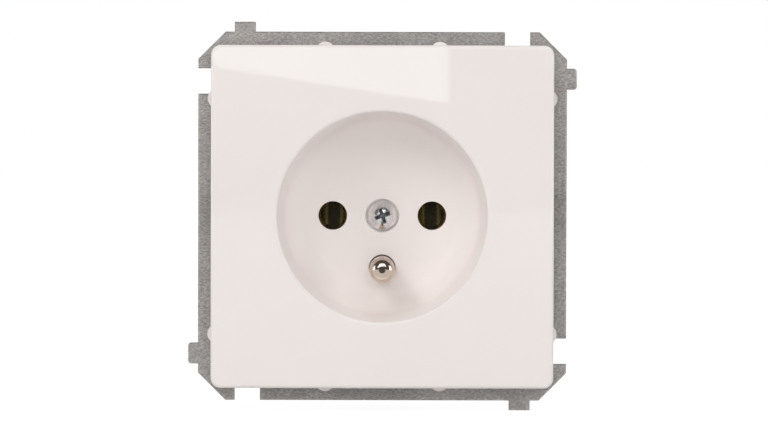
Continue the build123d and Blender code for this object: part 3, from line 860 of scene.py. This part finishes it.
# The crown: the front falls away from the rim of the recess towards the edges
mesh = bmesh.from_edit_mesh(cover.data)
for vertex in mesh.verts:
    reach = vertex.co.x**2 + vertex.co.z**2 - rim_radius**2
    if vertex.co.y < cover_front + 0.7 and reach > 0:
        vertex.co.y += cover_crown * reach / (cover_half**2 - rim_radius**2)
bmesh.update_edit_mesh(cover.data)
bpy.ops.object.mode_set(mode="OBJECT")

# Eight snap nubs on the side walls: each one is the outer slice of a short upright cylinder
nub_radius = 1.875
nub_width = 1.6
nub_middle = 31.25
nub_cut = 31.4
nub_sink = 0.15
nub_offset_upright = 10.8
nub_offset_across = 22.2
bpy.ops.object.select_all(action="DESELECT")
bpy.ops.mesh.primitive_cylinder_add(
    vertices=64,
    radius=nub_radius,
    depth=nub_width,
    location=(0, cover_front + 4.8, nub_middle),
    rotation=(math.pi / 2, 0, 0),
)
nub = bpy.context.object
bpy.ops.object.transform_apply(location=True, rotation=True, scale=True)
start_shaping(nub)
bpy.ops.mesh.select_all(action="SELECT")
bpy.ops.mesh.bisect(
    plane_co=(0, 0, nub_cut), plane_no=(0, 0, -1), use_fill=True, clear_outer=True
)
bpy.ops.object.mode_set(mode="OBJECT")
nub.data.transform(Matrix.Translation((0, 0, -nub_sink)))
round_edges(nub, 0.3, 4, 50)
for quarter in range(4):
    quarter_turn = Matrix.Rotation(math.radians(90 * quarter), 4, "Y")
    offset = nub_offset_upright if quarter % 2 == 0 else nub_offset_across
    for slide in (-offset, offset):
        placed = nub.copy()
        placed.data = nub.data.copy()
        bpy.context.collection.objects.link(placed)
        placed.data.transform(quarter_turn @ Matrix.Translation((slide, 0, 0)))
        combine(cover, placed, "UNION")
bpy.data.objects.remove(nub)

# Ribs behind the front, from the recess to the side walls
rib_count = 8
rib_size = (12.6, 3.9, 1.2)
rib_middle = (27.2, -6.2, 0)
for rib in range(rib_count):
    turn = math.radians(22.5 + 45 * rib)
    beam = block(rib_size, rib_middle)
    beam.data.transform(Matrix.Rotation(turn, 4, "Y"))
    combine(cover, beam, "UNION")

# Relief for the heads of the box screws, in the middle of each side wall
relief_size = (9.0, 5.8, 4.8)
relief_middle = (0, cover_rear - 0.9, 32.6)
for quarter in range(4):
    relief = block(relief_size, relief_middle)
    relief.data.transform(Matrix.Rotation(math.radians(90 * quarter), 4, "Y"))
    combine(cover, relief, "DIFFERENCE")

# Holes in the recess floor: two for the plug's pins, one for the earth pin, and the screw's seat
plug_hole = 2.75
pin_hole = 2.55
screw_hole = 1.8
screw_seat = 3.15
seat_depth = 0.5
through = 8
hole_edge_rounding = 0.15
for x, z, radius, depth in (
    (-contact_across, 0, plug_hole, through),
    (contact_across, 0, plug_hole, through),
    (0, -pin_below_middle, pin_hole, through),
    (0, 0, screw_hole, through),
    (0, 0, screw_seat, seat_depth),
):
    bpy.ops.object.select_all(action="DESELECT")
    bpy.ops.mesh.primitive_cylinder_add(
        vertices=96,
        radius=radius,
        depth=depth + 1,
        location=(x, floor_level + (depth - 1) / 2, z),
        rotation=(math.pi / 2, 0, 0),
    )
    combine(cover, bpy.context.object, "DIFFERENCE")
start_shaping(cover)
for x, z, radius in (
    (-contact_across, 0, plug_hole),
    (contact_across, 0, plug_hole),
    (0, -pin_below_middle, pin_hole),
    (0, 0, screw_seat),
):
    pick(
        cover,
        "EDGE",
        lambda middle: abs(math.hypot(middle.x - x, middle.z - z) - radius) < 0.02
        and abs(middle.y - floor_level) < 0.01,
    )
    bpy.ops.mesh.bevel(offset=hole_edge_rounding, segments=3, affect="EDGES", clamp_overlap=True)
bpy.ops.object.mode_set(mode="OBJECT")
finish_shape(cover, 32)

gloss_white, shader = start_material("glossy cover plastic", paint(238, 231, 228), 0.03)
tree = gloss_white.node_tree
shader.inputs["IOR"].default_value = 1.5
cover_grain = place_group(tree, grain, {"Fine Scale": 500.0, "Slow Scale": 45.0})
cover_tone = ramp(
    tree, cover_grain.outputs["Slow"], [(0.3, paint(237, 230, 227)), (0.7, paint(239, 232, 229))]
)
# The front is polished and the recess is satin: within the rim and behind the front
cover_axes = object_axes(tree)
from_middle = reach_from_axis(tree, cover_axes["X"], cover_axes["Z"])
inside_rim = map_range(tree, from_middle, 0.0204, 0.0200, 0.0, 1.0)
behind_front = map_range(tree, cover_axes["Y"], -0.0094, -0.0088, 0.0, 1.0)
in_recess = calculate(tree, "MULTIPLY", inside_rim, behind_front)
polished = noise_range(tree, cover_grain.outputs["Fine"], 0.014, 0.028)
satin = noise_range(tree, cover_grain.outputs["Fine"], 0.44, 0.54)
# Painted light: the recess is coloured a little lighter than the front
tone_with_painted_recess_light = mix(tree, in_recess, cover_tone, paint(243, 236, 233))
recess_roughness = mix(tree, in_recess, polished, satin, "FLOAT")
tree.links.new(tone_with_painted_recess_light, shader.inputs["Base Color"])
tree.links.new(recess_roughness, shader.inputs["Roughness"])
bump(tree, shader, cover_grain.outputs["Slow"], 0.00002, 0.3)
cover.data.materials.append(gloss_white)
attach(cover, "root")
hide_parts("cover_plate")

# Studio: a pale floor that carries a soft shadow, softboxes round the socket, cards that show only
# in its gloss, where the dark room and the bright screens of the photograph are mirrored, and a
# camera a little above the socket's middle.
floor_height = cad_box[0].z
floor_share = 0.8


def seen_or_mirrored(tree):
    """One for rays from the camera, from gloss and through glass, and nothing for the others."""
    rays = tree.nodes.new("ShaderNodeLightPath").outputs
    shown = calculate(tree, "MAXIMUM", rays["Is Camera Ray"], rays["Is Glossy Ray"])
    return calculate(tree, "MAXIMUM", shown, rays["Is Transmission Ray"])


def mix_shaders(tree, factor, first, second, surface):
    """Mixes two shaders, and links the mix to a surface socket."""
    node = tree.nodes.new("ShaderNodeMixShader")
    for socket, source in zip(node.inputs, (factor, first, second)):
        tree.links.new(source, socket)
    tree.links.new(node.outputs["Shader"], surface)


bpy.ops.object.select_all(action="DESELECT")
bpy.ops.mesh.primitive_plane_add(size=12, location=(0, 0, floor_height))
floor = bpy.context.object
floor.name = "studio_floor"
bpy.ops.object.transform_apply(location=True, rotation=True, scale=True)
floor_paint, shader = start_material("studio floor", (0.8, 0.8, 0.8, 1), 0.9)
tree = floor_paint.node_tree
glow = add_node(tree, "ShaderNodeEmission", {"Color": (1, 1, 1, 1)})
how_far = add_node(tree, "ShaderNodeVectorMath", operation="LENGTH")
tree.links.new(object_place(tree), how_far.inputs[0])
far_glow = map_range(tree, how_far.outputs["Value"], 0.5, 1.2, 1.16, 1.25)
tree.links.new(far_glow, glow.inputs["Strength"])
mix_shaders(
    tree,
    calculate(tree, "MULTIPLY", seen_or_mirrored(tree), floor_share),
    shader.outputs["BSDF"],
    glow.outputs["Emission"],
    tree.nodes["Material Output"].inputs["Surface"],
)
floor.data.materials.append(floor_paint)

world = bpy.data.worlds.new("studio")
bpy.context.scene.world = world
world.use_nodes = True
tree = world.node_tree
tree.nodes.clear()
sky = add_node(tree, "ShaderNodeBackground", {"Color": (1, 1, 1, 1), "Strength": 0.15})
white = add_node(tree, "ShaderNodeBackground", {"Color": (1, 1, 1, 1), "Strength": 1.0})
world_output = tree.nodes.new("ShaderNodeOutputWorld")
mix_shaders(
    tree,
    seen_or_mirrored(tree),
    sky.outputs["Background"],
    white.outputs["Background"],
    world_output.inputs["Surface"],
)


def softbox(name, azimuth, elevation, distance, width, height, power, reflected=True):
    """A rectangular lamp aimed at the socket, at an angle to its front."""
    across, up = math.radians(azimuth), math.radians(elevation)
    way = Vector(
        (math.sin(across) * math.cos(up), -math.cos(across) * math.cos(up), math.sin(up))
    )
    lamp = bpy.data.lights.new(name, "AREA")
    lamp.shape = "RECTANGLE"
    lamp.size = width
    lamp.size_y = height
    lamp.energy = power
    holder = bpy.data.objects.new(name, lamp)
    bpy.context.collection.objects.link(holder)
    holder.location = way * distance
    holder.rotation_mode = "QUATERNION"
    holder.rotation_quaternion = (-way).to_track_quat("-Z", "Y")
    holder.visible_camera = False
    holder.visible_glossy = reflected


softbox("front_low", 0, 6, 1.3, 0.5, 0.2, 1.8, False)
softbox("front_left", -22, 28, 1.3, 0.4, 0.4, 1.55, False)
softbox("front_right", 22, 24, 1.3, 0.4, 0.4, 1.6, False)
softbox("key_upper_left", -38, 36, 1.3, 0.6, 0.6, 3.4, False)
softbox("side_left", -62, 4, 1.2, 0.35, 0.9, 2.55)
softbox("side_right", 62, 4, 1.2, 0.35, 0.9, 4.2)
softbox("top", 0, 62, 1.2, 0.9, 0.35, 2.5, False)
softbox("rear_left", -145, 35, 1.3, 0.6, 0.6, 3.5)
softbox("rear_right", 145, 35, 1.3, 0.6, 0.6, 3.5)


def reflected_card(name, width, height, place, strength, turn=(90, 0, 0), fade=None):
    """A card that only shows in glossy surfaces, and can fade out between two X places."""
    bpy.ops.object.select_all(action="DESELECT")
    bpy.ops.mesh.primitive_plane_add(size=1)
    card = bpy.context.object
    card.name = name
    facing_in = Euler([math.radians(angle) for angle in turn]).to_matrix().to_4x4()
    sized = facing_in @ Matrix.Diagonal((width, height, 1, 1))
    card.data.transform(Matrix.Translation(place) @ sized)
    paper, shader = start_material(name, (1, 1, 1, 1), 0.9)
    tree = paper.node_tree
    tree.nodes.remove(shader)
    shine = add_node(tree, "ShaderNodeEmission", {"Strength": strength})
    if fade:
        faded = map_range(tree, object_axes(tree)["X"], *fade, strength, 0.0)
        tree.links.new(faded, shine.inputs["Strength"])
    tree.links.new(shine.outputs["Emission"], tree.nodes["Material Output"].inputs["Surface"])
    card.data.materials.append(paper)
    for ray in ("camera", "diffuse", "transmission", "volume_scatter", "shadow"):
        setattr(card, f"visible_{ray}", False)
    return card


reflected_card("dark_end", 4.0, 2.6, (0, -1.9, 1.27), 0.1)
reflected_card("dark_ceiling", 4.0, 2.4, (0, -0.75, 2.3), 0.1, (0, 0, 0))
reflected_card("dark_left", 2.2, 2.0, (-1.9, -0.85, 1.5), 0.1, (90, 0, 90))
reflected_card("dark_right", 2.2, 2.0, (1.9, -0.85, 1.5), 0.1, (90, 0, 90))
reflected_card("grey_table", 0.9, 1.88, (0, -0.96, -0.0352), 0.8, (0, 0, 0))
reflected_card("dark_tripod", 0.03, 0.5, (0, -0.65, -0.0348), 0.05, (0, 0, 0))
reflected_card("dark_camera", 0.054, 0.056, (0, -0.72, -0.014), 0.05)
reflected_card("upper_reflection", 0.5, 0.44, (0, -0.82, 0.37), 2.4)
lower = reflected_card(
    "lower_reflection", 0.36, 0.11, (-0.136, -0.8, 0.055), 2.4, fade=(0.0372, 0.0398)
)
lower_slope = Matrix.Identity(4)
lower_slope[2][0] = -0.153
lower_slope[2][3] = 0.0582
lower.data.transform(lower_slope)

camera_data = bpy.data.cameras.new("camera")
camera = bpy.data.objects.new("camera", camera_data)
bpy.context.collection.objects.link(camera)
camera_data.sensor_width = 36.0
camera_data.lens = 174.9
camera_distance = 0.7
camera_elevation = math.radians(1.0)
camera_roll = math.radians(0.15)
aim = Vector((0.00032, cover_front * 0.001, 0.0))
to_camera = Vector((0, -math.cos(camera_elevation), math.sin(camera_elevation)))
camera.location = aim + camera_distance * to_camera
level_view = Matrix.Rotation(math.pi / 2 - camera_elevation, 3, "X")
camera.rotation_euler = (level_view @ Matrix.Rotation(camera_roll, 3, "Z")).to_euler()
camera_data.clip_start = 0.01
camera_data.clip_end = 50
bpy.context.scene.camera = camera
bpy.context.scene.view_settings.view_transform = "Standard"
